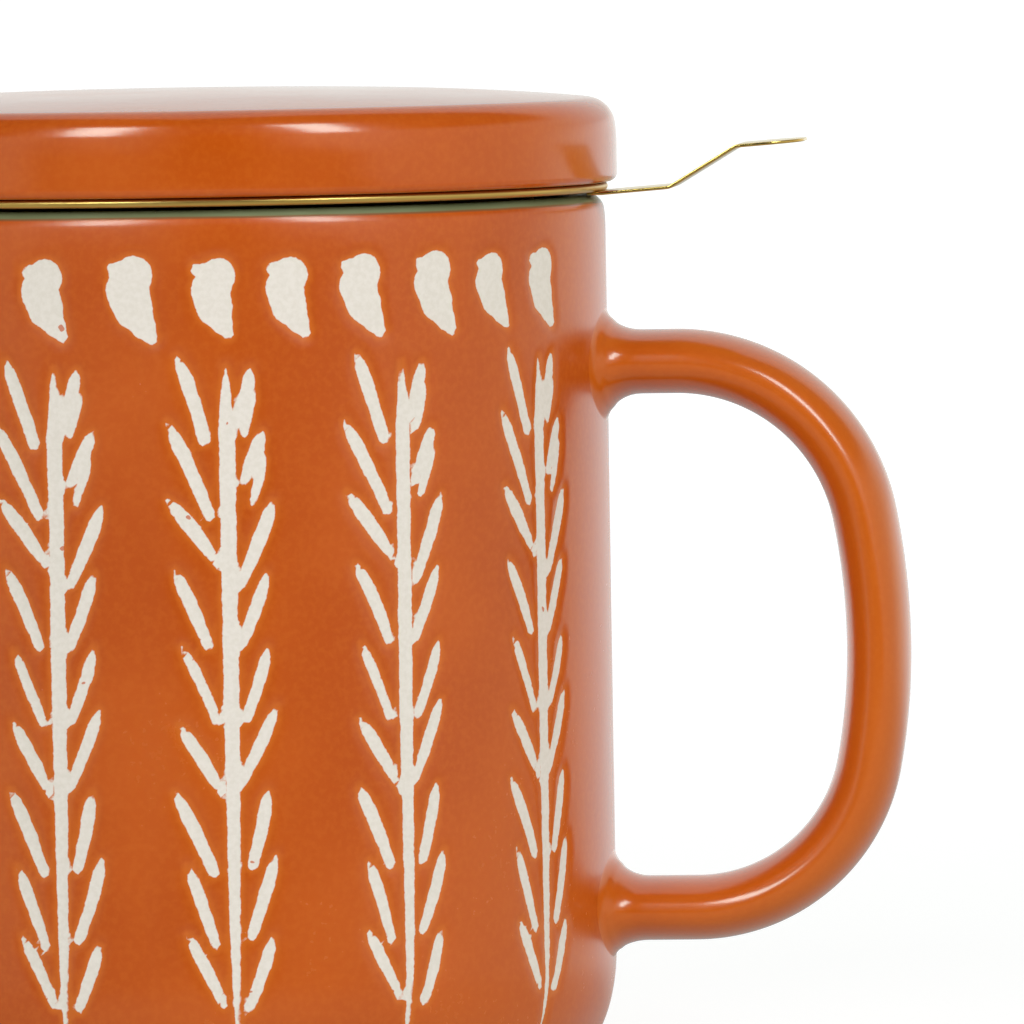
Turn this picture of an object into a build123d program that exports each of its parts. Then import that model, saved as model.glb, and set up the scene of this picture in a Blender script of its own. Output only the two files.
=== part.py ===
from build123d import *
from math import cos, pi, radians, sin
import os

# Tea mug with a lift-out infuser basket and a loose lid, in millimetres.
# The origin is the middle of the foot on the table, +Z is up and the handle stands out along +X.

# Mug body, thrown stoneware
mug_diameter = 88.0
mug_height = 92.0
mug_wall = 4.0
mug_floor = 4.5
lip_rise = 3.5
base_corner_run = 6.0
base_corner_rise = 12.0
foot_width = 4.0
foot_recess = 1.5
foot_edge_share = 0.4
cup_corner_radius = 8.0

# Mug handle, a pulled loop that is luted on at both roots
handle_thickness = 6.8
handle_depth = 14.5
finger_gap = 25.1
upper_root_drop = 17.8
lower_root_rise = 16.0
luting_radius = 2.9
luting_gap = 0.05
shoulder_turn = 79.0
side_height_share = 0.477
upper_bend_share = 0.74
lower_bend_share = 0.687

# Infuser basket, thin sheet metal
sheet = 0.4
sleeve_sheet = 0.3
fit_gap = 0.05
seat_gap = 0.1
basket_gap = 3.5
basket_lift = 24.0
bead_diameter = 1.0
bead_overhang = 0.3
rim_bend_radius = 1.2
collar_height = 8.0
hoop_height = 4.0
hoop_ledge = 3.0
hole_diameter = 2.0
hole_pitch = 7.0
hole_margin = 1.5

# Infuser tab, a bent strip under the rim
tab_sheet = 0.4
tab_width = 13.0
tab_weld_run = 1.6
tab_root_run = 6.8
tab_root_rise = 0.4
tab_slope_run = 6.8
tab_slope_rise = 4.1
tab_tip_run = 7.6
tab_tip_rise = 0.8
tab_bend_radius = 1.0
tab_corner_share = 0.35

# Lid, a stoneware disc with a locating ring underneath
lid_overhang = 1.3
lid_edge_height = 8.7
lid_crown = 1.5
lid_plate = 5.0
lid_top_radius = 2.9
lid_bottom_radius = 1.6
lid_ring_gap = 1.0
lid_ring_wall = 4.0
lid_ring_depth = 4.0
lid_ring_radius = 1.0

# How far a cut reaches past what it cuts
overrun = 2.0

# Places that follow from the sizes
mug_radius = mug_diameter / 2
cup_radius = mug_radius - mug_wall
lip_radius = mug_wall / 2
lip_middle = mug_radius - lip_radius
cup_floor_height = foot_recess + mug_floor
foot_outer_radius = mug_radius - base_corner_run
foot_inner_radius = foot_outer_radius - foot_width

tab_underside = mug_height + seat_gap
flange_underside = tab_underside + tab_sheet
flange_radius = mug_radius + bead_overhang
bead_middle_radius = flange_radius - bead_diameter / 2
bead_middle_height = flange_underside + bead_diameter / 2
collar_radius = cup_radius - basket_gap
collar_foot = flange_underside + sheet - collar_height
sleeve_radius = collar_radius - sheet - fit_gap
sleeve_bore = sleeve_radius - sleeve_sheet
sleeve_top = flange_underside - rim_bend_radius
basket_foot = cup_floor_height + basket_lift
ledge_top = basket_foot + sheet
ledge_bore = sleeve_bore - hoop_ledge

lid_seat = bead_middle_height + bead_diameter / 2 + seat_gap
lid_radius = mug_radius + lid_overhang
lid_edge_top = lid_seat + lid_edge_height
lid_top = lid_edge_top + lid_crown
lid_ring_outer = sleeve_bore - lid_ring_gap
lid_ring_inner = lid_ring_outer - lid_ring_wall


def bend_radii(run, drop):
    """Radii of the shoulder and side arcs that together turn a quarter circle over this run and drop."""
    turn = radians(shoulder_turn)
    spread = sin(turn) + cos(turn) - 1
    shoulder = (run * cos(turn) - drop * (1 - sin(turn))) / spread
    side = (drop * sin(turn) - run * (1 - cos(turn))) / spread
    return shoulder, side


# Mug body: one turned profile from the foot ring, up the wall, over the rounded lip and down inside
with BuildPart() as mug_body:
    with BuildSketch(Plane.XZ) as mug_profile:
        with BuildLine():
            base_corner = EllipticalCenterArc(
                (foot_outer_radius, base_corner_rise), base_corner_run, base_corner_rise, 270, arc_size=90
            )
            Line(base_corner @ 1, (mug_radius, mug_height - lip_rise))
            EllipticalCenterArc((lip_middle, mug_height - lip_rise), lip_radius, lip_rise, 0, arc_size=90)
            inner_lip = CenterArc((lip_middle, mug_height - lip_radius), lip_radius, 90, 90)
            inner_wall = Line(inner_lip @ 1, (cup_radius, cup_floor_height + cup_corner_radius))
            cup_corner = JernArc(inner_wall @ 1, inner_wall % 1, cup_corner_radius, -90)
            Polyline(
                cup_corner @ 1,
                (0, cup_floor_height),
                (0, foot_recess),
                (foot_inner_radius, foot_recess),
                (foot_inner_radius, 0),
                base_corner @ 0,
            )
        make_face()
        foot_edges = mug_profile.vertices().filter_by_position(Axis.X, foot_inner_radius, foot_inner_radius)
        fillet(foot_edges, foot_recess * foot_edge_share)
    revolve(axis=Axis.Z)

# Mug handle: a rounded strap along two shoulders and a bowed side, flared where it is luted to the wall
reach = finger_gap + handle_thickness / 2
upper_root_height = mug_height - upper_root_drop
loop_height = upper_root_height - lower_root_rise
upper_run = reach * upper_bend_share
lower_run = reach * lower_bend_share
upper_shoulder_radius, upper_side_radius = bend_radii(upper_run, loop_height * (1 - side_height_share))
lower_shoulder_radius, lower_side_radius = bend_radii(lower_run, loop_height * side_height_share)
upper_bend_start = mug_radius + reach - upper_run
side_turn = 90 - shoulder_turn

with BuildPart() as mug_handle:
    with BuildLine(Plane.XZ) as handle_path:
        upper_root = Line((lip_middle, upper_root_height), (upper_bend_start, upper_root_height))
        upper_shoulder = JernArc(upper_root @ 1, upper_root % 1, upper_shoulder_radius, -shoulder_turn)
        upper_side = JernArc(upper_shoulder @ 1, upper_shoulder % 1, upper_side_radius, -side_turn)
        lower_side = JernArc(upper_side @ 1, upper_side % 1, lower_side_radius, -side_turn)
        lower_shoulder = JernArc(lower_side @ 1, lower_side % 1, lower_shoulder_radius, -shoulder_turn)
        Line(lower_shoulder @ 1, (lip_middle, lower_root_rise))
    with BuildSketch(Plane(origin=handle_path.line @ 0, x_dir=(0, 1, 0), z_dir=handle_path.line % 0)):
        Ellipse(handle_depth / 2, handle_thickness / 2)
    sweep(path=handle_path.line)
    Cylinder(mug_radius, mug_height, rotation=(0, 0, 180), align=(Align.CENTER, Align.CENTER, Align.MIN))
    fillet(mug_handle.edges(Select.NEW), luting_radius)
    Cylinder(
        mug_radius + luting_gap,
        mug_height + overrun,
        rotation=(0, 0, 180),
        align=(Align.CENTER, Align.CENTER, Align.MIN),
        mode=Mode.SUBTRACT,
    )

# Infuser rim: the collar bends out into a flat flange with a rolled bead at its edge
with BuildPart() as infuser_rim:
    with BuildSketch(Plane.XZ):
        with BuildLine():
            FilletPolyline(
                (collar_radius - sheet / 2, collar_foot),
                (collar_radius - sheet / 2, flange_underside + sheet / 2),
                (bead_middle_radius, flange_underside + sheet / 2),
                radius=rim_bend_radius,
            )
        trace(line_width=sheet)
        with Locations((bead_middle_radius, bead_middle_height)):
            Circle(bead_diameter / 2)
    revolve(axis=Axis.Z)

# Infuser sleeve: a thin tube inside the collar, with staggered rows of round holes
sleeve_foot = ledge_top + fit_gap
lowest_hole = basket_foot + hoop_height + hole_margin + hole_diameter / 2
highest_hole = collar_foot - hole_margin - hole_diameter / 2
hole_rows = 1 + int((highest_hole - lowest_hole) / hole_pitch)
row_step = (highest_hole - lowest_hole) / max(hole_rows - 1, 1)
hole_columns = int(2 * pi * sleeve_radius / hole_pitch)

with BuildPart() as infuser_sleeve:
    with BuildSketch(Plane.XY.offset(sleeve_foot)):
        Circle(sleeve_radius)
        Circle(sleeve_bore, mode=Mode.SUBTRACT)
    extrude(amount=sleeve_top - sleeve_foot)
    drill_places = [
        Plane.XY.offset(lowest_hole + row * row_step).location
        * Location((0, 0, 0), (0, 0, (column + row % 2 / 2) * 360 / hole_columns))
        * Location((sleeve_bore - overrun, 0, 0), (0, 90, 0))
        for row in range(hole_rows)
        for column in range(hole_columns)
    ]
    with Locations(*drill_places):
        Cylinder(
            hole_diameter / 2,
            sleeve_sheet + 2 * overrun,
            align=(Align.CENTER, Align.CENTER, Align.MIN),
            mode=Mode.SUBTRACT,
        )

# Infuser floor: a flat disc with rings of holes, lying on the hoop's ledge
hole_rings = int((ledge_bore - hole_margin - hole_diameter / 2) / hole_pitch)

with BuildPart() as infuser_floor:
    with BuildSketch(Plane.XY.offset(ledge_top + fit_gap)):
        Circle(sleeve_bore - fit_gap)
        Circle(hole_diameter / 2, mode=Mode.SUBTRACT)
        for ring in range(1, hole_rings + 1):
            with PolarLocations(ring * hole_pitch, 6 * ring):
                Circle(hole_diameter / 2, mode=Mode.SUBTRACT)
    extrude(amount=sheet)

# Infuser floor hoop: an angle-section band round the sleeve's foot, whose ledge carries sleeve and floor
with BuildPart() as infuser_floor_hoop:
    with BuildSketch(Plane.XZ):
        with BuildLine():
            FilletPolyline(
                (ledge_bore, basket_foot + sheet / 2),
                (collar_radius - sheet / 2, basket_foot + sheet / 2),
                (collar_radius - sheet / 2, basket_foot + hoop_height),
                radius=sheet / 2 + fit_gap,
            )
        trace(line_width=sheet)
    revolve(axis=Axis.Z)

# Infuser tab: a strip welded under the flange, bent up twice to a rounded tip
tab_root_radius = flange_radius - tab_weld_run
tab_middle = tab_underside + tab_sheet / 2
tab_slope_start = (flange_radius + tab_root_run, tab_middle + tab_root_rise)
tab_slope_end = (tab_slope_start[0] + tab_slope_run, tab_slope_start[1] + tab_slope_rise)
tab_tip = (tab_slope_end[0] + tab_tip_run, tab_slope_end[1] + tab_tip_rise)

with BuildPart() as infuser_tab:
    with BuildSketch(Plane.XZ):
        with BuildLine():
            FilletPolyline(
                (tab_root_radius, tab_middle),
                (flange_radius, tab_middle),
                tab_slope_start,
                tab_slope_end,
                tab_tip,
                radius=tab_bend_radius,
            )
        trace(line_width=tab_sheet)
    extrude(amount=tab_width / 2, both=True)
    with BuildSketch(Plane.XY.offset(tab_underside - overrun)) as tab_plan:
        with Locations((tab_root_radius, 0)):
            Rectangle(tab_tip[0] - tab_root_radius, tab_width, align=(Align.MIN, Align.CENTER))
        fillet(tab_plan.vertices().group_by(Axis.X)[-1], tab_width * tab_corner_share)
    extrude(amount=tab_tip[1] - tab_underside + 2 * overrun, mode=Mode.INTERSECT)

# Lid: a gently crowned disc, hollowed underneath inside its locating ring
with BuildPart() as lid:
    with BuildSketch(Plane.XZ) as lid_profile:
        with BuildLine():
            crown = TangentArc((0, lid_top), (lid_radius, lid_edge_top), tangent=(1, 0))
            Polyline(
                crown @ 1,
                (lid_radius, lid_seat),
                (lid_ring_outer, lid_seat),
                (lid_ring_outer, lid_seat - lid_ring_depth),
                (lid_ring_inner, lid_seat - lid_ring_depth),
                (lid_ring_inner, lid_edge_top - lid_plate),
                (0, lid_edge_top - lid_plate),
                crown @ 0,
            )
        make_face()
        fillet(lid_profile.vertices().sort_by(Axis.Y)[:2], lid_ring_radius)
        outer_corners = lid_profile.vertices().group_by(Axis.X)[-1].sort_by(Axis.Y)
        fillet(outer_corners[-1], lid_top_radius)
        outer_corners = lid_profile.vertices().group_by(Axis.X)[-1].sort_by(Axis.Y)
        fillet(outer_corners[0], lid_bottom_radius)
    revolve(axis=Axis.Z)

pieces = {
    "mug_body": mug_body,
    "mug_handle": mug_handle,
    "infuser_rim": infuser_rim,
    "infuser_sleeve": infuser_sleeve,
    "infuser_floor": infuser_floor,
    "infuser_floor_hoop": infuser_floor_hoop,
    "infuser_tab": infuser_tab,
    "lid": lid,
}
os.makedirs("parts", exist_ok=True)
for name, piece in pieces.items():
    piece.part.label = name
    export_step(piece.part, f"parts/{name}.step")
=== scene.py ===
import math

import bpy
import numpy as np
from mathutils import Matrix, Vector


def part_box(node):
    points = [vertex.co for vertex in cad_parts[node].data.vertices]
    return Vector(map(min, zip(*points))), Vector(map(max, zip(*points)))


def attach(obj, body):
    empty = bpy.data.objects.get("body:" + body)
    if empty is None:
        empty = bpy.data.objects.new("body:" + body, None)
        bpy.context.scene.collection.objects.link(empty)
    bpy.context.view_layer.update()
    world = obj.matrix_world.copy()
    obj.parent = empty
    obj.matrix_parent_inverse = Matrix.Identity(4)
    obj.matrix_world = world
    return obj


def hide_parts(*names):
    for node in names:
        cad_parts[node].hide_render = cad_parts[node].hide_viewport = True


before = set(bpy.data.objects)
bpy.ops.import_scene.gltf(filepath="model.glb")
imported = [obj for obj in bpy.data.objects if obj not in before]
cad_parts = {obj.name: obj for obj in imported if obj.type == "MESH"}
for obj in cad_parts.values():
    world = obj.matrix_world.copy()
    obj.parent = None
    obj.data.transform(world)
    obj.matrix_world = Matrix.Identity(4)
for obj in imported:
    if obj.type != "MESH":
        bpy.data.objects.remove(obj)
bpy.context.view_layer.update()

# Mug body
# Thrown stoneware with a rounded lip, a rounded base corner and a trimmed foot ring. It is turned here
# as on the wheel: half a section, from the foot up the wall and down inside, spun about the mug's axis.
mm = 0.001
weld_gap = 0.001 * mm
crease_angle = math.radians(40)
mug_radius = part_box("mug_body")[1].x
mug_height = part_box("mug_body")[1].z
mug_wall = 4.0 * mm
cup_radius = mug_radius - mug_wall
lip_top = mug_height + 0.12 * mm
lip_radius = 1.8 * mm
lip_side_radius = 21.0 * mm
lip_turn = math.radians(6)
cup_floor = 6.0 * mm
cup_corner = 8.0 * mm
base_run = 6.0 * mm
base_rise = 12.0 * mm
foot_outer = mug_radius - base_run
foot_ring_width = 4.0 * mm
foot_inner = foot_outer - foot_ring_width
foot_recess = 1.5 * mm
foot_edge = 0.6 * mm
mug_steps = 440


def arc(middle, radii, start, end, steps):
    """Points of (radius, height) on an ellipse, from one angle in degrees to another."""
    turns = np.radians(np.linspace(start, end, steps + 1))
    return [(middle[0] + radii[0] * math.cos(t), middle[1] + radii[1] * math.sin(t)) for t in turns]


def run(start, end, steps):
    """Points of (radius, height) along a straight run, without its first point."""
    shares = np.linspace(0, 1, steps + 1)[1:]
    return [(start[0] + s * (end[0] - start[0]), start[1] + s * (end[1] - start[1])) for s in shares]


def turn(name, section, steps):
    """Turns a section of (radius, height) points round the mug's axis and closes seam and poles."""
    bpy.ops.object.select_all(action="DESELECT")
    bpy.ops.mesh.primitive_plane_add(size=mm)
    piece = bpy.context.object
    piece.name = name
    piece.data.name = name
    bpy.ops.object.mode_set(mode="EDIT")
    bpy.ops.mesh.select_mode(type="VERT")
    bpy.ops.mesh.merge(type="CENTER")
    bpy.ops.transform.translate(value=(section[0][0], 0, section[0][1]))
    for here, there in zip(section, section[1:]):
        step = (there[0] - here[0], 0, there[1] - here[1])
        bpy.ops.mesh.extrude_region_move(TRANSFORM_OT_translate={"value": step})
    bpy.ops.object.mode_set(mode="OBJECT")
    lathe = piece.modifiers.new("lathe", "SCREW")
    lathe.steps = steps
    lathe.render_steps = steps
    bpy.ops.object.modifier_apply(modifier="lathe")
    bpy.ops.object.mode_set(mode="EDIT")
    bpy.ops.mesh.select_all(action="SELECT")
    bpy.ops.mesh.remove_doubles(threshold=weld_gap)
    bpy.ops.mesh.normals_make_consistent(inside=False)
    bpy.ops.object.mode_set(mode="OBJECT")
    bpy.ops.object.shade_smooth_by_angle(angle=crease_angle)
    return piece


base_curve = arc((foot_outer, base_rise), (base_run, base_rise), 270, 360, 26)
lip_across = (lip_side_radius - lip_radius) * math.cos(lip_turn)
lip_middle = mug_radius - lip_side_radius + lip_across
lip_up = lip_top - lip_radius
lip_side_up = lip_up - (lip_side_radius - lip_radius) * math.sin(lip_turn)
lip_side_middle = (mug_radius - lip_side_radius, lip_side_up)
lip_side_radii = (lip_side_radius, lip_side_radius)
lip_side_end = math.degrees(lip_turn)
lip_inside = lip_middle - cup_radius
mug_section = [(0, foot_recess)]
mug_section += run((0, foot_recess), (foot_inner - foot_edge, foot_recess), 6)
mug_section += arc((foot_inner - foot_edge, foot_recess - foot_edge), (foot_edge, foot_edge), 90, 0, 4)
mug_section += arc((foot_inner + foot_edge, foot_edge), (foot_edge, foot_edge), 180, 270, 4)
mug_section += run((foot_inner + foot_edge, 0), base_curve[0], 4)
mug_section += base_curve[1:]
mug_section += run(base_curve[-1], (mug_radius, lip_side_up), 126)
mug_section += arc(lip_side_middle, lip_side_radii, 0, lip_side_end, 5)[1:]
mug_section += arc((lip_middle, lip_up), (lip_radius, lip_radius), lip_side_end, 90, 13)[1:]
mug_section += arc((lip_middle, lip_top - lip_inside), (lip_inside, lip_inside), 90, 180, 8)[1:]
mug_section += run((cup_radius, lip_top - lip_inside), (cup_radius, cup_floor + cup_corner), 8)
corner_middle = (cup_radius - cup_corner, cup_floor + cup_corner)
mug_section += arc(corner_middle, (cup_corner, cup_corner), 0, -90, 10)[1:]
mug_section += run((cup_radius - cup_corner, cup_floor), (0, cup_floor), 6)
mug_body = turn("mug_body_glazed", mug_section, mug_steps)

# Ornament on the mug body
# A row of comma dabs under the lip and upright sprigs below it, brushed on as wax so that the glaze drew
# back and left matt cream clay, a little sunk. Every stroke comes from a formula with small drifts. All
# lengths of the strokes are in millimetres, across from the handle's side and up along the wall.


def points_of(piece):
    """The points of a piece's mesh, one row for each."""
    flat = np.empty(len(piece.data.vertices) * 3)
    piece.data.vertices.foreach_get("co", flat)
    return flat.reshape(-1, 3)


def set_points(piece, points):
    """Moves the points of a piece's mesh to the given rows."""
    piece.data.vertices.foreach_set("co", points.ravel())
    piece.data.update()


def smooth(share):
    """Eases a share of 0 to 1 at both ends."""
    return share * share * (3 - 2 * share)


spots = points_of(mug_body)
spot_radius = np.hypot(spots[:, 0], spots[:, 1])
spot_turn = np.arctan2(spots[:, 1], spots[:, 0])
spot_turn = np.where(spot_turn > 0, spot_turn - 2 * math.pi, spot_turn)
base_lengths = np.cumsum([0] + [math.dist(a, b) for a, b in zip(base_curve, base_curve[1:])])
base_heights = [height for _, height in base_curve]
along = np.interp(spots[:, 2], base_heights, base_lengths - base_lengths[-1] + base_rise)
along = np.where(spots[:, 2] > base_rise, spots[:, 2], along)
outside = spot_radius > np.where(spots[:, 2] < cup_floor, foot_outer, lip_middle)
across_mm = spot_turn * mug_radius / mm
up_mm = along / mm
far_from_strokes = 9.0
stroke_gap = np.full(len(spots), far_from_strokes)
brush_reach = 3.0


def brush(points, half_widths):
    """Draws one stroke into the field of distances, as a chain of round-ended runs."""
    points = np.array(points)
    low = points.min(axis=0) - brush_reach
    high = points.max(axis=0) + brush_reach
    near = outside & (across_mm > low[0]) & (across_mm < high[0]) & (up_mm > low[1]) & (up_mm < high[1])
    near = np.flatnonzero(near)
    place = np.stack([across_mm[near], up_mm[near]], axis=1)
    for a, b, wide_a, wide_b in zip(points, points[1:], half_widths, half_widths[1:]):
        share = np.clip((place - a) @ (b - a) / ((b - a) @ (b - a)), 0, 1)
        gap = np.linalg.norm(place - a - share[:, None] * (b - a), axis=1)
        stroke_gap[near] = np.minimum(stroke_gap[near], gap - wide_a - share * (wide_b - wide_a))


drift = np.random.default_rng(14)
dab_turns = [-27.3, -38.4, -48.7, -60.1, -70.7, -80.9, -92.0, -104.2, *np.linspace(-115.2, -332.6, 21)]
dab_middle = 83.0
dab_spine = [(0.22, 2.4), (-0.45, 0.95), (0.2, -0.9), (1.2, -2.6), (2.0, -3.75)]
dab_widths = [1.85, 2.05, 1.93, 1.2, 0.62]
dab_flick = (-1.75, 3.05)
dab_flick_widths = [1.6, 0.6]
dab_lean_drift = 0.05
dab_size_drift = 0.025
for dab_turn in dab_turns:
    middle = math.radians(dab_turn) * mug_radius / mm
    lean = drift.normal(0, dab_lean_drift)
    size = drift.normal(1, dab_size_drift)
    comma = [(middle + size * (x + lean * y), dab_middle + size * y) for x, y in dab_spine]
    brush(comma, np.array(dab_widths) * size)
    flick_end = (middle + dab_flick[0] * size, dab_middle + dab_flick[1] * size)
    brush([comma[0], flick_end], dab_flick_widths)

# Each leaf is a row of tip across and up, foot across and up, and half widths at its head and its foot.
sprig_turns = [-28.5, -54.4, -79.3, -102.9, *np.linspace(-127.8, -331.6, 9)]
stem_heights = [75.9, 74.2, 72.0, 69.0, 60.0, 45.0, 33.0, 21.0, 15.5, 11.5, 8.0, 5.4]
stem_widths = [0.1, 0.42, 0.62, 0.86, 0.8, 0.82, 0.74, 0.6, 0.52, 0.4, 0.3, 0.12]
leaves = [
    (-5.4, 76.9, -2.2, 68.3, 0.74, 0.66),
    (-6.4, 70.2, -2.0, 60.8, 0.74, 0.58),
    (-6.4, 62.4, -0.8, 54.8, 0.78, 0.2),
    (-5.5, 55.0, -2.1, 47.2, 0.72, 0.55),
    (-5.1, 47.1, -1.7, 39.3, 0.58, 0.52),
    (-5.4, 39.1, -0.8, 31.3, 0.72, 0.25),
    (-5.9, 32.0, -2.1, 23.9, 0.74, 0.58),
    (-5.0, 24.4, -2.0, 16.1, 0.66, 0.48),
    (-4.9, 17.1, -1.3, 10.0, 0.66, 0.48),
    (2.7, 75.8, 0.9, 69.9, 0.72, 0.55),
    (2.6, 73.6, 1.6, 69.0, 0.55, 0.38),
    (3.8, 69.1, 1.4, 63.8, 0.74, 0.42),
    (3.7, 67.0, 2.3, 62.0, 0.55, 0.38),
    (4.6, 61.9, 1.2, 53.5, 0.76, 0.5),
    (4.1, 54.4, 1.0, 47.2, 0.68, 0.58),
    (3.8, 46.7, 1.3, 39.6, 0.62, 0.55),
    (4.5, 40.6, 0.9, 32.7, 0.68, 0.45),
    (3.6, 32.0, 1.8, 24.3, 0.7, 0.56),
    (4.4, 25.0, 1.6, 16.8, 0.7, 0.54),
    (3.9, 16.5, 1.5, 9.6, 0.66, 0.54),
]
leaf_shares = np.linspace(0, 1, 8)
swell_shares = [0, 0.1, 0.3, 0.6, 1]
swell_to_foot = [0.28, 0.8, 1, 0.95]
stem_drift = 0.05
tip_drift = 0.16
foot_drift = 0.12
bow_middle = 0.12
bow_drift = 0.08
for sprig_turn in sprig_turns:
    middle = math.radians(sprig_turn) * mug_radius / mm
    sway = np.cumsum(drift.normal(0, stem_drift, len(stem_heights)))
    brush([(middle + s, h) for s, h in zip(sway - sway.mean(), stem_heights)], stem_widths)
    for tip_across, tip_up, foot_across, foot_up, head_width, foot_width in leaves:
        tip = np.array([middle + tip_across, tip_up]) + drift.normal(0, tip_drift, 2)
        foot = np.array([middle + foot_across, foot_up]) + drift.normal(0, foot_drift, 2)
        bow = drift.normal(bow_middle, bow_drift)
        leaf = [tip + s * (foot - tip) + (4 * s * (1 - s) * bow, 0) for s in leaf_shares]
        swell = np.interp(leaf_shares, swell_shares, [*swell_to_foot, foot_width / head_width])
        brush(leaf, swell * head_width)

glaze_depth = 0.16 * mm
slope_start = 0.25
slope_run = 1.35
ridge_rise = 0.03 * mm
ridge_place = 0.9
ridge_width = 0.45
edge_slope = smooth(np.clip((stroke_gap + slope_start) / slope_run, 0, 1))
ridge = np.exp(-((stroke_gap - ridge_place) / ridge_width) ** 2)
sink = np.where(outside, (edge_slope - 1) * glaze_depth + ridge * ridge_rise, 0)
spots[:, :2] *= ((spot_radius + sink) / np.maximum(spot_radius, mm))[:, None]
stroke_field = mug_body.data.attributes.new("stroke_gap", "FLOAT", "POINT")
stroke_field.data.foreach_set("value", stroke_gap)
set_points(mug_body, spots)


class Shade:
    """One output of a shader node. Sums on it add Math nodes, and node() adds a node of any kind."""

    def __init__(self, tree, socket=None):
        self.tree = tree
        self.socket = socket

    def node(self, kind, settings=None, inputs=None, output=0):
        made = self.tree.nodes.new(kind)
        for name, value in (settings or {}).items():
            setattr(made, name, value)
        for name, value in (inputs or {}).items():
            if isinstance(value, Shade):
                self.tree.links.new(value.socket, made.inputs[name])
            else:
                made.inputs[name].default_value = value
        return Shade(self.tree, made.outputs[output])

    def math(self, operation, *values):
        return self.node("ShaderNodeMath", {"operation": operation}, dict(enumerate(values)))

    def __add__(self, other):
        return self.math("ADD", self, other)

    def __sub__(self, other):
        return self.math("SUBTRACT", self, other)

    def __rsub__(self, other):
        return self.math("SUBTRACT", other, self)

    def __mul__(self, other):
        return self.math("MULTIPLY", self, other)

    def __truediv__(self, other):
        return self.math("DIVIDE", self, other)

    __radd__ = __add__
    __rmul__ = __mul__

    def most(self, other):
        return self.math("MAXIMUM", self, other)

    def step(self, low, high):
        """0 below low, 1 above high and a smooth rise between them."""
        settings = {"interpolation_type": "SMOOTHSTEP"}
        inputs = {"Value": self, "From Min": low, "From Max": high}
        return self.node("ShaderNodeMapRange", settings, inputs)

    def noise(self, scale, detail=2.0, place=None):
        inputs = {"Vector": place or self.place(), "Scale": scale, "Detail": detail}
        return self.node("ShaderNodeTexNoise", None, inputs)

    def place(self):
        return self.node("ShaderNodeTexCoord", None, None, "Object")

    def split(self, vector):
        """The three parts of a vector, along X, Y and Z."""
        parts = self.node("ShaderNodeSeparateXYZ", None, {0: vector}).socket.node.outputs
        return [Shade(self.tree, part) for part in parts]

    def blend(self, share, below, above):
        settings = {"data_type": "RGBA"}
        return self.node("ShaderNodeMix", settings, {0: share, 6: below, 7: above}, 2)


def colour(red, green, blue):
    """A colour of 0 to 255 as the eye sees it, in the linear light that a shader takes."""
    parts = [part / 255 for part in (red, green, blue)]
    parts = [part / 12.92 if part <= 0.04045 else ((part + 0.055) / 1.055) ** 2.4 for part in parts]
    return (*parts, 1.0)


def new_finish(name):
    """A new material, with its shader and a Shade to work on."""
    material = bpy.data.materials.new(name)
    material.use_nodes = True
    shader = material.node_tree.nodes["Principled BSDF"]
    return material, shader, Shade(material.node_tree)


def feed(shade, shader, **sockets):
    """Links what varies over the surface to the shader's sockets."""
    for name, value in sockets.items():
        shade.tree.links.new(value.socket, shader.inputs[name.replace("_", " ")])


terracotta = colour(207, 91, 17)
terracotta_deep = colour(196, 81, 12)
terracotta_thin = colour(218, 110, 30)
pit_rim = colour(226, 150, 110)
cream_slip = colour(241, 231, 226)
cream_slip_dull = colour(227, 216, 208)
sage_glaze = colour(130, 140, 108)
sage_glaze_deep = colour(119, 128, 95)
glaze_seam = colour(120, 72, 34)
bare_clay = colour(206, 180, 150)
bare_clay_dark = colour(188, 158, 126)
bare_clay_rough = 0.9
clay_scale = 1900.0
cloud_scale = 45.0
grain_scale = 1400.0
pit_scale = 620.0
ripple_scale = 260.0
fine_ripple_scale = 900.0
relief_strength = 0.12
relief_depth = 0.2 * mm


def glaze_base(shade, satin):
    """Colour, roughness and height of terracotta glaze: slow clouds, fine grain and small pits."""
    clouds = shade.noise(cloud_scale, 3.0).step(0.3, 0.7)
    grain = shade.noise(grain_scale)
    tone = shade.blend(clouds, terracotta_deep, terracotta)
    tone = shade.blend(grain.step(0.35, 0.75) * 0.25, tone, terracotta_thin)
    pits = shade.noise(pit_scale, 1.0).step(0.82, 0.86)
    tone = shade.blend(pits * 0.5, tone, pit_rim)
    rough = satin + clouds * 0.03 + grain * 0.04 + pits * 0.2
    height = shade.noise(ripple_scale) * 0.5 + shade.noise(fine_ripple_scale) * 0.2 - pits * 0.5
    return tone, rough, height


def leave_bare(shade, share, tone, rough):
    """Colour and roughness with unglazed clay where the share is 1."""
    clay = shade.blend(shade.noise(clay_scale, 3.0), bare_clay, bare_clay_dark)
    return shade.blend(share, tone, clay), rough * (1 - share) + share * bare_clay_rough


def feed_glaze(shade, shader, tone, rough, height):
    """Links a glaze's colour, roughness and fine relief to its shader."""
    relief = {"Strength": relief_strength, "Distance": relief_depth, "Height": height}
    bump = shade.node("ShaderNodeBump", None, relief)
    feed(shade, shader, Base_Color=tone, Roughness=rough, Normal=bump)


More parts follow.
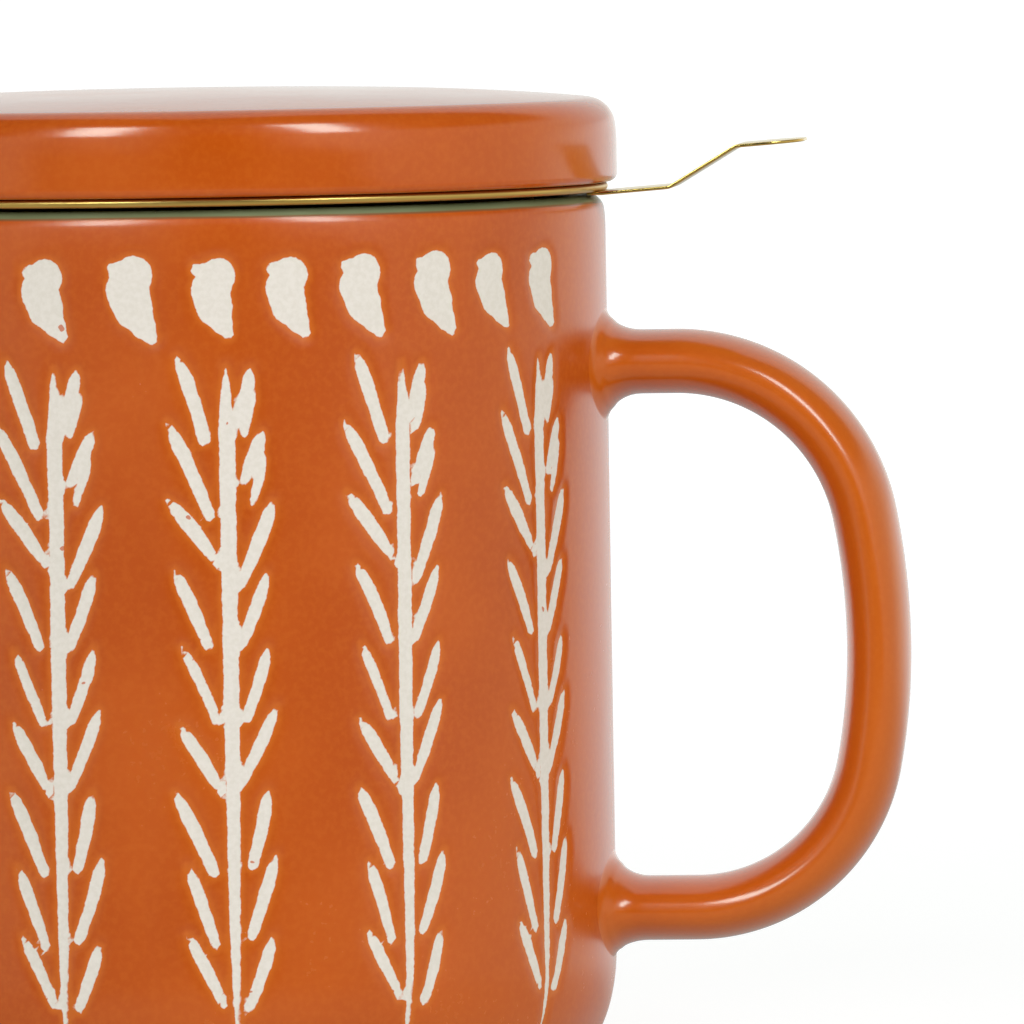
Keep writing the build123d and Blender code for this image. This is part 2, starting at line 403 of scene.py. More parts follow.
mug_satin = 0.22
mug_glaze, mug_shader, shade = new_finish("mug_glaze")
tone, rough, height = glaze_base(shade, mug_satin)
gap = shade.node("ShaderNodeAttribute", {"attribute_name": "stroke_gap"}, None, "Fac")
ragged = (shade.noise(750.0, 3.0) - 0.5) * 0.34 + (shade.noise(2600.0) - 0.5) * 0.14
edge = gap + ragged
# Lighter orange near the stroke edges: partly glaze that thins there, partly a painted sheen of the glaze
# sloping down into the strokes.
thin_glaze_and_sheen = 1 - edge.step(0.05, 0.75)
tone = shade.blend(thin_glaze_and_sheen * 0.75, tone, terracotta_thin)
clay_grain = shade.noise(clay_scale, 3.0)
clay = shade.blend(clay_grain.step(0.3, 0.7) * 0.5, cream_slip, cream_slip_dull)
specks = shade.noise(640.0, 1.0).step(0.775, 0.79)
clay = shade.blend(specks * 0.8, clay, terracotta)
bare = 1 - edge.step(-0.06, 0.06)
tone = shade.blend(bare, tone, clay)
rough = rough * (1 - bare) + (0.62 + clay_grain * 0.15) * bare
east, north, level = shade.split(shade.place())
radius = shade.math("SQRT", east * east + north * north)
wobble_scale = 70.0
wobble = (shade.noise(wobble_scale) - 0.5) * (0.5 * mm)
wavy_level = level + wobble * 0.6
over_lip = wavy_level.step(mug_height - 0.84 * mm, mug_height - 0.45 * mm)
within = 1 - radius.step(lip_middle - 0.5 * mm, lip_middle)
inside = within * level.step(cup_floor - 0.6 * mm, cup_floor - 0.4 * mm)
sage_share = over_lip.most(inside)
sage = shade.blend(shade.noise(90.0, 3.0).step(0.3, 0.7), sage_glaze, sage_glaze_deep)
tone = shade.blend(sage_share, tone, sage)
tone = shade.blend(over_lip * (1 - over_lip) * 2.4, tone, glaze_seam)
foot_share = 1 - wavy_level.step(0.5 * mm, 0.9 * mm)
tone, rough = leave_bare(shade, foot_share, tone, rough)
feed_glaze(shade, mug_shader, tone, rough, height)
mug_body.data.materials.append(mug_glaze)
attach(mug_body, "mug")
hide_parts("mug_body")

# Mug handle
# A pulled loop of clay, oval in section, luted to the wall with slip at both roots and glazed with the
# mug. A circle is drawn out to an oval, run out from the wall and spun round two shoulders and a bowed
# side. The slip is a flare at each root, with its own shares above and below.
handle_thickness = 6.8 * mm
handle_depth = 14.5 * mm
handle_sides = 72
box_margin = 0.01 * mm
handle_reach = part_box("mug_handle")[1].x - mug_radius - handle_thickness / 2 - box_margin
upper_root = mug_height - 17.65 * mm
lower_root = 16.4 * mm
luting_rise = 2.9 * mm
luting_run = 3.8 * mm
luting_tuck = 0.05 * mm
luting_ring_rise = 0.1 * mm
luting_ring_place = 0.75 * mm
luting_ring_width = 0.28 * mm
upper_flares = (0.94, 1.15)
lower_flares = (1.15, 0.7)
root_depth = 0.3 * mm
root_wrap = 12.0 * mm
shoulder_turn = math.radians(79)
side_height_share = 0.477
upper_bend_share = 0.74
lower_bend_share = 0.687
shoulder_steps = 54
side_steps = 14


def bend_radii(across, drop):
    """Radii of the shoulder and side arcs that turn a quarter circle over this run and drop."""
    spread = math.sin(shoulder_turn) + math.cos(shoulder_turn) - 1
    shoulder = (across * math.cos(shoulder_turn) - drop * (1 - math.sin(shoulder_turn))) / spread
    side = (drop * math.sin(shoulder_turn) - across * (1 - math.cos(shoulder_turn))) / spread
    return shoulder, side


loop_height = upper_root - lower_root
upper_run = handle_reach * upper_bend_share
lower_run = handle_reach * lower_bend_share
upper_shoulder, upper_side = bend_radii(upper_run, loop_height * (1 - side_height_share))
lower_shoulder, lower_side = bend_radii(lower_run, loop_height * side_height_share)
side_reach = mug_radius + handle_reach
side_height = lower_root + loop_height * side_height_share
near_wall = [0.25, 0.03, 0.02, 0.03, 0.03, 0.04, 0.05, 0.05]
root_rings = np.array([*near_wall, *[0.1] * 16, 0.2, 0.3, 0.4, 0.5, 0.6, 0.7, 0.8]) * mm
bpy.ops.object.select_all(action="DESELECT")
bpy.ops.mesh.primitive_circle_add(
    vertices=handle_sides,
    radius=handle_thickness / 2,
    location=(mug_radius - root_depth, 0, upper_root),
    rotation=(0, math.pi / 2, 0),
)
mug_handle = bpy.context.object
mug_handle.name = "mug_handle_glazed"
bpy.ops.object.transform_apply(location=True, rotation=True, scale=True)
bpy.ops.object.mode_set(mode="EDIT")
bpy.ops.mesh.select_all(action="SELECT")
oval = (1, handle_depth / handle_thickness, 1)
bpy.ops.transform.resize(value=oval, center_override=(mug_radius, 0, upper_root))
upper_straight = handle_reach - upper_run
lower_straight = handle_reach - lower_run
for step in [*root_rings, upper_straight + root_depth - root_rings.sum()]:
    bpy.ops.mesh.extrude_region_move(TRANSFORM_OT_translate={"value": (step, 0, 0)})
side_turn = math.pi / 2 - shoulder_turn
bends = [
    (mug_radius + upper_straight, upper_root - upper_shoulder, shoulder_turn, shoulder_steps),
    (side_reach - upper_side, side_height, side_turn, side_steps),
    (side_reach - lower_side, side_height, side_turn, side_steps),
    (mug_radius + lower_straight, lower_root + lower_shoulder, shoulder_turn, shoulder_steps),
]
for bend_x, bend_z, bend_turn, bend_steps in bends:
    bpy.ops.mesh.spin(steps=bend_steps, angle=bend_turn, center=(bend_x, 0, bend_z), axis=(0, -1, 0))
for step in [lower_straight + root_depth - root_rings.sum(), *root_rings[::-1]]:
    bpy.ops.mesh.extrude_region_move(TRANSFORM_OT_translate={"value": (-step, 0, 0)})
bpy.ops.mesh.select_all(action="SELECT")
bpy.ops.mesh.remove_doubles(threshold=weld_gap)
bpy.ops.mesh.select_all(action="DESELECT")
bpy.ops.mesh.select_mode(type="EDGE")
bpy.ops.mesh.select_non_manifold()
bpy.ops.mesh.fill_holes(sides=0)
bpy.ops.mesh.select_all(action="SELECT")
bpy.ops.mesh.normals_make_consistent(inside=False)
bpy.ops.object.mode_set(mode="OBJECT")
bpy.ops.object.shade_smooth()
loop = points_of(mug_handle)
roots = [(upper_root, upper_straight, *upper_flares), (lower_root, lower_straight, *lower_flares)]
for root_height, straight, over_share, under_share in roots:
    off_wall = loop[:, 0] - mug_radius
    rooted = (off_wall < straight) & (np.abs(loop[:, 2] - root_height) < handle_thickness)
    short = np.clip(1 - (off_wall + luting_tuck) / luting_run, 0, 1)
    flare = luting_rise * (1 - np.sqrt(1 - short**2))
    flare += luting_ring_rise * np.exp(-((off_wall - luting_ring_place) / luting_ring_width) ** 2)
    out_up = (loop[:, 2] - root_height) / handle_thickness**2
    out = np.stack([loop[:, 1] / handle_depth**2, out_up], axis=1)
    out /= np.maximum(np.linalg.norm(out, axis=1), 1e-9)[:, None]
    flare *= 1 + (over_share - 1) * np.clip(out[:, 1], 0, 1)
    flare *= 1 + (under_share - 1) * np.clip(-out[:, 1], 0, 1)
    loop[rooted, 1] += (flare * out[:, 0])[rooted]
    loop[rooted, 2] += (flare * out[:, 1])[rooted]
    ease = 1 - smooth(np.clip(off_wall / straight, 0, 1))
    hollow = np.sqrt(mug_radius**2 - np.minimum(loop[:, 1] ** 2, root_wrap**2)) - mug_radius
    loop[rooted, 0] += (hollow * ease)[rooted]
set_points(mug_handle, loop)

handle_satin = 0.16
handle_glaze, handle_shader, shade = new_finish("handle_glaze")
tone, rough, height = glaze_base(shade, handle_satin)
# The handle's glaze is made lighter than the wall's: its tone is blended halfway to the thin glaze's
# colour.
tone = shade.blend(0.5, tone, terracotta_thin)
feed_glaze(shade, handle_shader, tone, rough, height)
mug_handle.data.materials.append(handle_glaze)
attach(mug_handle, "mug")
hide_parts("mug_handle")

# Infuser rim
# Gold-coloured stainless sheet, spun to a collar that bends out into a flat flange with a rolled bead.
# The bead carries the lid, and the flange hangs the basket from the mug's lip.
sheet = 0.4 * mm
solid_bead = 1.0 * mm
bead_radius = 0.44 * mm
bead_sink = 0.01 * mm
rim_low, rim_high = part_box("infuser_rim")
flange_under = rim_high.z - solid_bead
bead_middle = (rim_high.x - bead_radius, flange_under - bead_sink + bead_radius)
bead_start = math.degrees(math.asin(1 - bead_sink / bead_radius)) - 180
bead_end = 180 - math.degrees(math.asin((flange_under + sheet - bead_middle[1]) / bead_radius))
collar_radius = 36.5 * mm
collar_bend = 1.2 * mm
bend_middle = (collar_radius - sheet / 2 + collar_bend, flange_under + sheet / 2 - collar_bend)
bend_out = collar_bend - sheet / 2
bend_in = collar_bend + sheet / 2
rim_section = [(collar_radius, rim_low.z)]
rim_section += run(rim_section[-1], (collar_radius, bend_middle[1]), 4)
rim_section += arc(bend_middle, (bend_out, bend_out), 180, 90, 6)[1:]
bead_curve = arc(bead_middle, (bead_radius, bead_radius), bead_start, bead_end, 26)
rim_section += run(rim_section[-1], bead_curve[0], 4)
rim_section += bead_curve[1:]
rim_section += run(rim_section[-1], (bend_middle[0], flange_under + sheet), 4)
rim_section += arc(bend_middle, (bend_in, bend_in), 90, 180, 6)[1:]
rim_section += run(rim_section[-1], (collar_radius - sheet, rim_low.z), 4)
rim_section += [rim_section[0]]
infuser_rim = turn("infuser_rim_gold", rim_section, 256)

gold = colour(220, 178, 104)
gold_deep = colour(200, 154, 80)
hair_scale = 4200.0
hair_stretch_round = 0.02
hair_stretch_along = 0.03
hair_strength = 0.1
hair_depth = 0.02 * mm
smudge_scale = 120.0


def gold_finish(name, turned, satin):
    """Polished gold-coloured steel with hair-fine marks, round the axis if it is turned or along X."""
    material, shader, shade = new_finish(name)
    east, north, level = shade.split(shade.place())
    if turned:
        radius = shade.math("SQRT", east * east + north * north)
        around = shade.math("ARCTAN2", north, east)
        marks = {0: around * hair_stretch_round, 1: radius, 2: level}
    else:
        marks = {0: east * hair_stretch_along, 1: north, 2: level}
    hair = shade.noise(hair_scale, 3.0, shade.node("ShaderNodeCombineXYZ", None, marks))
    smudge = shade.noise(smudge_scale)
    tone = shade.blend(smudge.step(0.35, 0.7) * 0.6 + hair * 0.2, gold, gold_deep)
    rough = satin + hair * 0.1 + smudge * 0.08
    relief = {"Strength": hair_strength, "Distance": hair_depth, "Height": hair}
    bump = shade.node("ShaderNodeBump", None, relief)
    feed(shade, shader, Base_Color=tone, Roughness=rough, Normal=bump)
    shader.inputs["Metallic"].default_value = 1.0
    return material


turned_gold = gold_finish("turned_gold", True, 0.26)
drawn_gold = gold_finish("drawn_gold", False, 0.14)
infuser_rim.data.materials.append(turned_gold)
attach(infuser_rim, "infuser")
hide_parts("infuser_rim")

# Infuser tab
# A strip of the same sheet, welded under the flange and bent up twice into a finger tab with a rounded
# tip. It starts as a flat blank and is drawn out along its bends, then given thickness and eased edges.
tab_width = 13.0 * mm
tab_sheet = 0.34 * mm
tab_bend = 1.0 * mm
tab_corner = 0.35 * tab_width
tab_edge = 0.11 * mm
tab_slope_foot = (7.1 * mm, 0.55 * mm)
tab_slope_head = (14.2 * mm, 4.8 * mm)
tab_tip_rise = 5.3 * mm
near_enough = 0.01 * mm
tab_low, tab_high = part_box("infuser_tab")
tab_middle = tab_low.z + sheet - tab_sheet / 2
tab_corners = [
    (tab_low.x, tab_middle),
    (rim_high.x, tab_middle),
    (rim_high.x + tab_slope_foot[0], tab_middle + tab_slope_foot[1]),
    (rim_high.x + tab_slope_head[0], tab_middle + tab_slope_head[1]),
    (tab_high.x, tab_middle + tab_tip_rise),
]
tab_path = [tab_corners[0]]
for before, corner, after in zip(tab_corners, tab_corners[1:], tab_corners[2:]):
    backward = np.subtract(before, corner) / math.dist(before, corner)
    onward = np.subtract(after, corner) / math.dist(after, corner)
    bent = math.pi - math.acos(np.clip(backward @ onward, -1, 1))
    cut = tab_bend * math.tan(bent / 2)
    for share in np.linspace(0, 1, 6):
        curve = (1 - share) ** 2 * cut * backward + share**2 * cut * onward
        tab_path.append(tuple(np.array(corner) + curve))
tab_path.append(tab_corners[-1])
bpy.ops.object.select_all(action="DESELECT")
blank_middle = (tab_path[0][0] - tab_width / 2, 0, tab_path[0][1])
bpy.ops.mesh.primitive_plane_add(size=tab_width, location=blank_middle)
infuser_tab = bpy.context.object
infuser_tab.name = "infuser_tab_gold"
bpy.ops.object.transform_apply(location=True, rotation=True, scale=True)
bpy.ops.object.mode_set(mode="EDIT")
bpy.ops.mesh.select_mode(type="EDGE")
bpy.ops.mesh.select_all(action="DESELECT")
bpy.ops.object.mode_set(mode="OBJECT")
blank = infuser_tab.data
for line in blank.edges:
    ends = [blank.vertices[v].co.x for v in line.vertices]
    line.select = all(abs(end - tab_path[0][0]) < near_enough for end in ends)
bpy.ops.object.mode_set(mode="EDIT")
for here, there in zip(tab_path, tab_path[1:]):
    step = (there[0] - here[0], 0, there[1] - here[1])
    bpy.ops.mesh.extrude_region_move(TRANSFORM_OT_translate={"value": step})
bpy.ops.mesh.select_mode(type="VERT")
bpy.ops.mesh.bevel(offset=tab_corner, segments=10, affect="VERTICES")
bpy.ops.mesh.select_all(action="DESELECT")
bpy.ops.object.mode_set(mode="OBJECT")
for spot in blank.vertices:
    spot.select = spot.co.x < tab_path[0][0] - tab_width / 2
bpy.ops.object.mode_set(mode="EDIT")
bpy.ops.mesh.delete(type="VERT")
bpy.ops.mesh.select_all(action="SELECT")
bpy.ops.mesh.normals_make_consistent(inside=False)
bpy.ops.object.mode_set(mode="OBJECT")
bpy.ops.object.shade_smooth_by_angle(angle=math.radians(30))
tab_plate = infuser_tab.modifiers.new("sheet", "SOLIDIFY")
tab_plate.thickness = tab_sheet
tab_plate.offset = 0
ease_edges = infuser_tab.modifiers.new("eased_edges", "BEVEL")
ease_edges.width = tab_edge
ease_edges.segments = 3
ease_edges.limit_method = "ANGLE"
ease_edges.angle_limit = math.radians(50)
bpy.ops.object.modifier_apply(modifier="sheet")
bpy.ops.object.modifier_apply(modifier="eased_edges")
infuser_tab.data.materials.append(drawn_gold)
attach(infuser_tab, "infuser")
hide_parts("infuser_tab")

# Infuser sleeve
# A tube rolled from thin gold-coloured sheet, punched with fine holes and left plain at both ends. One
# six-sided cell with a hole is repeated to a flat sheet, rolled up and given its plain borders.
sleeve_low, sleeve_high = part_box("infuser_sleeve")
sleeve_radius = sleeve_high.x
sleeve_sheet = 0.3 * mm
sleeve_columns = 96
sleeve_rows = 23
first_row_rise = 6.4 * mm
hole_pitch = 2 * math.pi * sleeve_radius / sleeve_columns
cell_side = hole_pitch / math.sqrt(3)
hole_radius = 0.6 * mm
hole_sides = 12


def perforated(name, columns, rows):
    """A flat sheet in the XY plane with round holes, each row half a pitch on from the last."""
    bpy.ops.object.select_all(action="DESELECT")
    bpy.ops.mesh.primitive_circle_add(vertices=6, radius=cell_side)
    piece = bpy.context.object
    piece.name = name
    piece.data.name = name
    bpy.ops.object.mode_set(mode="EDIT")
    bpy.ops.mesh.primitive_circle_add(vertices=hole_sides, radius=hole_radius)
    bpy.ops.mesh.select_all(action="SELECT")
    bpy.ops.mesh.bridge_edge_loops()
    bpy.ops.object.mode_set(mode="OBJECT")
    for label, count, step in (("columns", columns, (1, 0)), ("rows", rows, (0.5, math.sqrt(3) / 2))):
        repeat = piece.modifiers.new(label, "ARRAY")
        repeat.count = count
        repeat.use_relative_offset = False
        repeat.use_constant_offset = True
        repeat.constant_offset_displace = (step[0] * hole_pitch, step[1] * hole_pitch, 0)
        bpy.ops.object.modifier_apply(modifier=label)
    return piece


def thicken(piece, thickness, offset):
    """Gives a sheet its thickness and smooth faces with crisp edges."""
    bpy.ops.object.mode_set(mode="EDIT")
    bpy.ops.mesh.select_all(action="SELECT")
    bpy.ops.mesh.remove_doubles(threshold=near_enough)
    bpy.ops.mesh.normals_make_consistent(inside=False)
    bpy.ops.object.mode_set(mode="OBJECT")
    metal = piece.modifiers.new("metal", "SOLIDIFY")
    metal.thickness = thickness
    metal.offset = offset
    bpy.ops.object.modifier_apply(modifier="metal")
    bpy.ops.object.shade_smooth_by_angle(angle=crease_angle)


infuser_sleeve = perforated("infuser_sleeve_gold", sleeve_columns, sleeve_rows)
flat_sheet = points_of(infuser_sleeve)
row_rise = hole_pitch * math.sqrt(3) / 2
lowest_row = sleeve_low.z + first_row_rise
highest_row = lowest_row + (sleeve_rows - 1) * row_rise
rolled = np.stack(
    [
        sleeve_radius * np.cos(flat_sheet[:, 0] / sleeve_radius),
        sleeve_radius * np.sin(flat_sheet[:, 0] / sleeve_radius),
        lowest_row + flat_sheet[:, 1],
    ],
    axis=1,
)
set_points(infuser_sleeve, rolled)
bpy.ops.object.mode_set(mode="EDIT")
bpy.ops.mesh.select_all(action="SELECT")
bpy.ops.mesh.remove_doubles(threshold=near_enough)
last_points = 0.95 * cell_side / 2
for border_row, side, border in ((lowest_row, -1, sleeve_low.z), (highest_row, 1, sleeve_high.z)):
    bpy.ops.mesh.select_mode(type="EDGE")
    bpy.ops.mesh.select_all(action="DESELECT")
    bpy.ops.object.mode_set(mode="OBJECT")
    ends = [side * (spot.co.z - border_row) > last_points for spot in infuser_sleeve.data.vertices]
    for line in infuser_sleeve.data.edges:
        line.select = all(ends[v] for v in line.vertices)
    bpy.ops.object.mode_set(mode="EDIT")
    bpy.ops.mesh.extrude_region_move(TRANSFORM_OT_translate={"value": (0, 0, border - border_row)})
    bpy.ops.transform.resize(value=(1, 1, 0), center_override=(0, 0, border))
bpy.ops.object.mode_set(mode="OBJECT")
thicken(infuser_sleeve, sleeve_sheet, -1)
infuser_sleeve.data.materials.append(turned_gold)
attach(infuser_sleeve, "infuser")
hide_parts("infuser_sleeve")

# Infuser floor
# A disc of the same punched sheet that closes the basket, with its edge pressed into a plain flat ring.
# The ring hides the cut edge of the sheet and lies on the hoop's ledge.
floor_low, floor_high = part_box("infuser_floor")
floor_radius = floor_high.x
ring_bore = floor_radius - 4.5 * mm
field_radius = floor_radius - 2.7 * mm
field_rows = 1 + 2 * int(floor_radius / row_rise)
field_columns = field_rows + field_rows // 2
infuser_floor = perforated("infuser_floor_gold", field_columns, field_rows)
bpy.ops.object.mode_set(mode="EDIT")
bpy.ops.mesh.select_all(action="SELECT")
field_middle = (hole_pitch * (field_columns // 2 + field_rows // 4), row_rise * (field_rows // 2))
field_height = (floor_low.z + floor_high.z) / 2
bpy.ops.transform.translate(value=(-field_middle[0], -field_middle[1], field_height))
bpy.ops.mesh.select_mode(type="FACE")
bpy.ops.mesh.select_all(action="DESELECT")
bpy.ops.object.mode_set(mode="OBJECT")
for face in infuser_floor.data.polygons:
    face.select = math.hypot(face.center.x, face.center.y) > field_radius
bpy.ops.object.mode_set(mode="EDIT")
bpy.ops.mesh.delete(type="FACE")
bpy.ops.object.mode_set(mode="OBJECT")
thicken(infuser_floor, sleeve_sheet, 0)
ring_section = [(ring_bore, floor_low.z), (floor_radius, floor_low.z), (floor_radius, floor_high.z)]
ring_section += [(ring_bore, floor_high.z), (ring_bore, floor_low.z)]
turn("infuser_floor_ring", ring_section, 160)
infuser_floor.select_set(True)
bpy.context.view_layer.objects.active = infuser_floor
bpy.ops.object.join()
infuser_floor.data.materials.append(drawn_gold)
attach(infuser_floor, "infuser")
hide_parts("infuser_floor")

# Infuser floor hoop
# A band of angle section that is pressed round the foot of the sleeve. Its ledge carries the sleeve and
# the floor.
hoop_low, hoop_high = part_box("infuser_floor_hoop")
hoop_radius = hoop_high.x
hoop_ledge = 32.75 * mm
hoop_bend = 0.45 * mm
hoop_corner = (hoop_radius - hoop_bend, hoop_low.z + hoop_bend)
hoop_section = [(hoop_ledge, hoop_low.z)]
hoop_section += run(hoop_section[-1], (hoop_corner[0], hoop_low.z), 3)
hoop_section += arc(hoop_corner, (hoop_bend, hoop_bend), -90, 0, 5)[1:]
hoop_section += run(hoop_section[-1], (hoop_radius, hoop_high.z), 3)
hoop_section += [(hoop_radius - sheet, hoop_high.z)]
hoop_section += run(hoop_section[-1], (hoop_radius - sheet, hoop_low.z + sheet), 3)
hoop_section += run(hoop_section[-1], (hoop_ledge, hoop_low.z + sheet), 3)
hoop_section += [hoop_section[0]]
infuser_hoop = turn("infuser_hoop_gold", hoop_section, 192)
infuser_hoop.data.materials.append(turned_gold)
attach(infuser_hoop, "infuser")
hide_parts("infuser_floor_hoop")

# Lid
# A thick stoneware disc with a rounded edge and a slight crown, glazed like the mug. A ring underneath
# drops into the basket and keeps the lid in place. Only the ring's edge is left bare.
lid_low, lid_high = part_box("lid")
lid_radius = lid_high.x
lid_crown = 1.75 * mm
lid_seat = lid_low.z + 3.84 * mm
lid_top_radius = 3.1 * mm
lid_side_radius = 16.0 * mm
lid_side_turn = 8.0
lid_bottom_radius = 0.9 * mm
ring_outer = 34.75 * mm
ring_inner = ring_outer - 4.0 * mm
ring_edge = 1.0 * mm
ring_edge_radii = (ring_edge, ring_edge)
plate_under = lid_high.z - 6.5 * mm
side_lean = (lid_side_radius - lid_top_radius) * math.cos(math.radians(lid_side_turn))
corner_across = lid_radius - lid_side_radius + side_lean
crown_fall = math.atan(3 * lid_crown * corner_across**2 / lid_radius**3)
crown_edge = corner_across + lid_top_radius * math.sin(crown_fall)
crown_low = lid_high.z - lid_crown * (crown_edge / lid_radius) ** 3
corner_up = crown_low - lid_top_radius * math.cos(crown_fall)
side_rise = (lid_side_radius - lid_top_radius) * math.sin(math.radians(lid_side_turn))
side_middle = (lid_radius - lid_side_radius, corner_up - side_rise)
crown_reach = crown_edge * np.linspace(0, 1, 25)[:-1]
lid_section = [(reach, lid_high.z - lid_crown * (reach / lid_radius) ** 3) for reach in crown_reach]
corner_start = 90 - math.degrees(crown_fall)
lid_corner = (corner_across, corner_up)
lid_section += arc(lid_corner, (lid_top_radius, lid_top_radius), corner_start, lid_side_turn, 18)
lid_section += arc(side_middle, (lid_side_radius, lid_side_radius), lid_side_turn, 0, 6)[1:]
lid_section += run(lid_section[-1], (lid_radius, lid_seat + lid_bottom_radius), 3)
bottom_middle = (lid_radius - lid_bottom_radius, lid_seat + lid_bottom_radius)
lid_section += arc(bottom_middle, (lid_bottom_radius, lid_bottom_radius), 0, -90, 12)[1:]
lid_section += run(lid_section[-1], (ring_outer, lid_seat), 6)
lid_section += run(lid_section[-1], (ring_outer, lid_low.z + ring_edge), 3)
lid_section += arc((ring_outer - ring_edge, lid_low.z + ring_edge), ring_edge_radii, 0, -90, 6)[1:]
lid_section += run(lid_section[-1], (ring_inner + ring_edge, lid_low.z), 3)
lid_section += arc((ring_inner + ring_edge, lid_low.z + ring_edge), ring_edge_radii, -90, -180, 6)[1:]
lid_section += run(lid_section[-1], (ring_inner, plate_under), 5)
lid_section += run(lid_section[-1], (0, plate_under), 10)
lid = turn("lid_glazed", lid_section, 320)

lid_satin = 0.14
lid_glaze, lid_shader, shade = new_finish("lid_glaze")
tone, rough, height = glaze_base(shade, lid_satin)
level = shade.split(shade.place())[2]
wobble = (shade.noise(wobble_scale) - 0.5) * (0.3 * mm)
foot_share = 1 - (level + wobble).step(lid_low.z + 0.3 * mm, lid_low.z + 0.5 * mm)
tone, rough = leave_bare(shade, foot_share, tone, rough)
feed_glaze(shade, lid_shader, tone, rough, height)
lid.data.materials.append(lid_glaze)
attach(lid, "lid")
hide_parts("lid")

# Studio
# A white floor, a bright tent that is dark behind the camera and overhead but plain white to the camera
# itself, and two tall soft boxes whose reflections lie along the edge of the lid. Each has a wide fill
# that only lights. The camera stands where the photo was taken.
floor_reach = 14.0
floor_near = (0.82, 0.82, 0.82, 1.0)
floor_far = (0.98, 0.98, 0.98, 1.0)
bpy.ops.object.select_all(action="DESELECT")
bpy.ops.mesh.primitive_circle_add(vertices=96, radius=floor_reach, fill_type="NGON")
floor = bpy.context.object
floor.name = "floor"
floor_paint, floor_shader, shade = new_finish("floor_paint")
off_middle = shade.node("ShaderNodeVectorMath", {"operation": "LENGTH"}, {0: shade.place()}, "Value")
floor_glow = shade.blend(off_middle.step(0.2, 0.9), floor_near, floor_far)
feed(shade, floor_shader, Emission_Color=floor_glow)
floor_shader.inputs["Base Color"].default_value = (0.3, 0.3, 0.3, 1.0)
floor_shader.inputs["Roughness"].default_value = 1.0
floor_shader.inputs["Specular IOR Level"].default_value = 0.0
floor_shader.inputs["Emission Strength"].default_value = 1.0
floor.data.materials.append(floor_paint)
floor.visible_glossy = False
floor.visible_diffuse = False

camera_azimuth = math.radians(5.0)
side_light = 0.78
back_light = 1.0
high_light = 0.1
low_light = 0.55
skirt_light = 0.3
skirt_top = 0.12
back_opening = 0.66
front_cover = 0.3
dark_lean = 1.1
dark_depth = 0.95
dark_turn = camera_azimuth + math.radians(2)
tent_front = (0.93, 1.0, 0.82, 1.0)
tent_back = (0.9, 1.0, 0.98, 1.0)
plain_white = (1.0, 1.0, 1.0, 1.0)
world = bpy.data.worlds.new("light_tent")
bpy.context.scene.world = world
world.use_nodes = True
shade = Shade(world.node_tree)
direction = shade.node("ShaderNodeTexCoord", None, None, "Generated")
east, north, rise = shade.split(direction)
facing = east * math.sin(dark_turn) - north * math.cos(dark_turn)
heading = facing / shade.math("SQRT", (1 - rise * rise).most(0.0001))
away = 0 - heading
behind = away.step(0.5, 0.85)
around = side_light + (back_light - side_light) * away.step(0.2, 0.8)
around = around + skirt_light * away.step(0.1, 0.6) * (skirt_top - rise).step(0, 0.08)
overhead = (rise - back_opening * behind + front_cover * heading.step(0.8, 0.95)).step(0.3, 0.48)
tent = around + (high_light - around) * overhead
sideways = east * math.cos(dark_turn) + north * math.sin(dark_turn)
dark = (heading - dark_lean * rise * sideways.step(-0.2, 0.4)).step(0.64, 0.78)
tent = tent * (1 - dark_depth * dark)
strength = tent + (low_light - tent) * (0 - rise).step(0.06, 0.16)
backdrop = world.node_tree.nodes["Background"]
tint = shade.blend(behind, tent_front, tent_back)
seen = shade.node("ShaderNodeLightPath", None, None, "Is Camera Ray")
tint = shade.blend(seen, tint, plain_white)
strength = strength + (1 - strength) * seen
world.node_tree.links.new(tint.socket, backdrop.inputs["Color"])
world.node_tree.links.new(strength.socket, backdrop.inputs["Strength"])


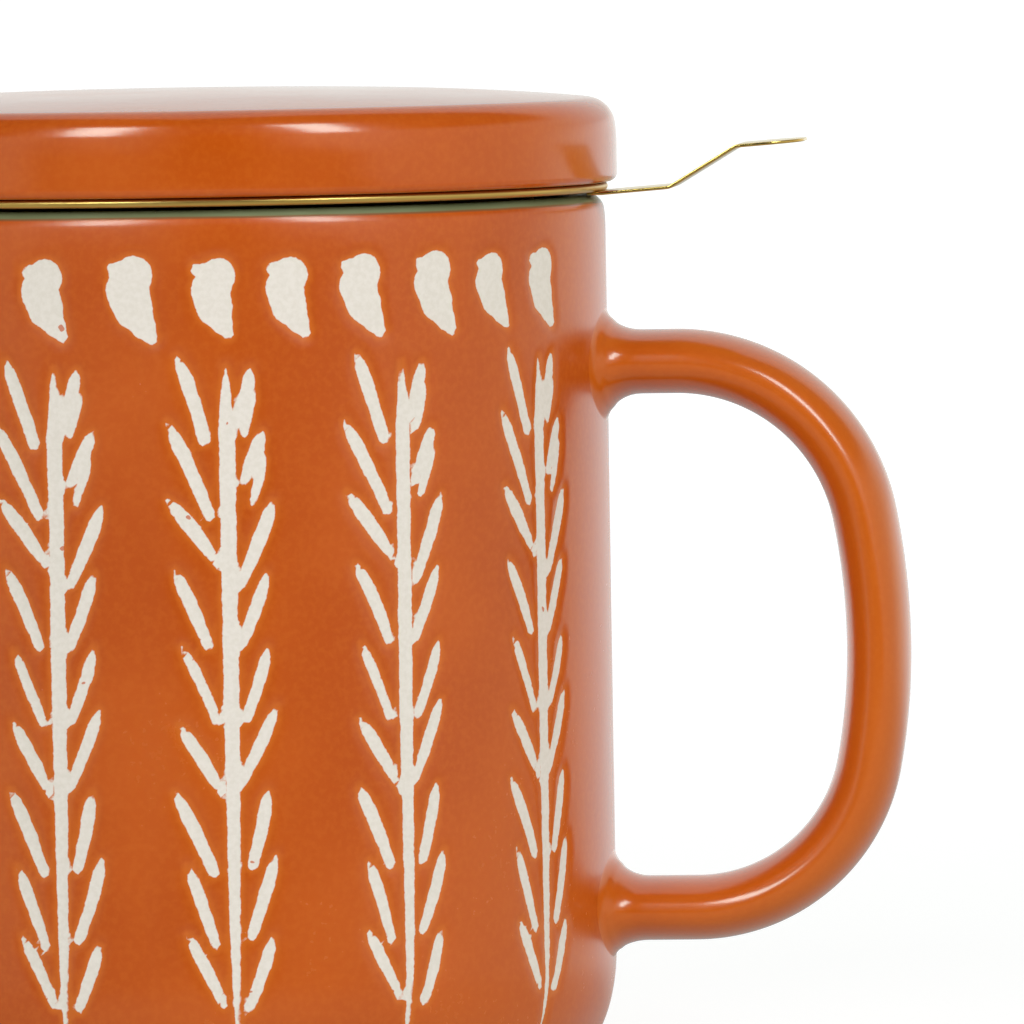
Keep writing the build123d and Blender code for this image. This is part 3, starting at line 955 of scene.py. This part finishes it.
def soft_box(name, azimuth, elevation, distance, size, radiance):
    """A soft box aimed at the mug, with both angles in degrees and its azimuth from the camera's own."""
    light = bpy.data.lights.new(name, "AREA")
    light.shape = "RECTANGLE"
    light.size, light.size_y = size
    light.energy = 4 * radiance * size[0] * size[1]
    box = bpy.data.objects.new(name, light)
    bpy.context.scene.collection.objects.link(box)
    turn_angle = camera_azimuth + math.radians(azimuth)
    rise_angle = math.radians(elevation)
    flat = math.cos(rise_angle)
    toward = Vector((math.sin(turn_angle) * flat, -math.cos(turn_angle) * flat, math.sin(rise_angle)))
    box.location = toward * distance + Vector((0, 0, mug_height))
    box.rotation_euler = toward.to_track_quat("Z", "Y").to_euler()
    return box


strip_elevation = 38
strip_distance = 1.2
strip_height = 0.7
strip_radiance = 12.0
strip_tint = (0.75, 1.0, 0.97)
fill_elevation = 22
fill_distance = 1.5
fill_size = (1.0, 1.0)
for side, azimuth, strip_width, fill_radiance in (("left", -26, 0.28, 2.4), ("right", 41, 0.25, 2.65)):
    strip_size = (strip_width, strip_height)
    strip = soft_box(side + "_strip", azimuth, strip_elevation, strip_distance, strip_size, strip_radiance)
    strip.data.color = strip_tint
    strip.visible_diffuse = False
    fill = soft_box(side + "_fill", azimuth, fill_elevation, fill_distance, fill_size, fill_radiance)
    fill.visible_glossy = False

photo_width = 1024
focal_pixels = 14600.0
camera_distance = 1.55
camera_elevation = math.radians(2.75)
camera_roll = math.radians(0.9)
aim_across = 33.6 * mm
aim_height = 58.4 * mm
optics = bpy.data.cameras.new("photo_camera")
optics.sensor_width = 36.0
optics.lens = focal_pixels / photo_width * optics.sensor_width
optics.clip_end = 60.0
camera = bpy.data.objects.new("photo_camera", optics)
bpy.context.scene.collection.objects.link(camera)
right = Vector((math.cos(camera_azimuth), math.sin(camera_azimuth), 0))
back = Vector(
    (
        math.sin(camera_azimuth) * math.cos(camera_elevation),
        -math.cos(camera_azimuth) * math.cos(camera_elevation),
        math.sin(camera_elevation),
    )
)
up = back.cross(right)
rolled_right = right * math.cos(camera_roll) - up * math.sin(camera_roll)
rolled_up = up * math.cos(camera_roll) + right * math.sin(camera_roll)
aim = right * aim_across + Vector((0, 0, aim_height))
camera.location = aim + back * camera_distance
camera.rotation_euler = Matrix((rolled_right, rolled_up, back)).transposed().to_euler()
bpy.context.scene.camera = camera
bpy.context.scene.view_settings.view_transform = "Standard"
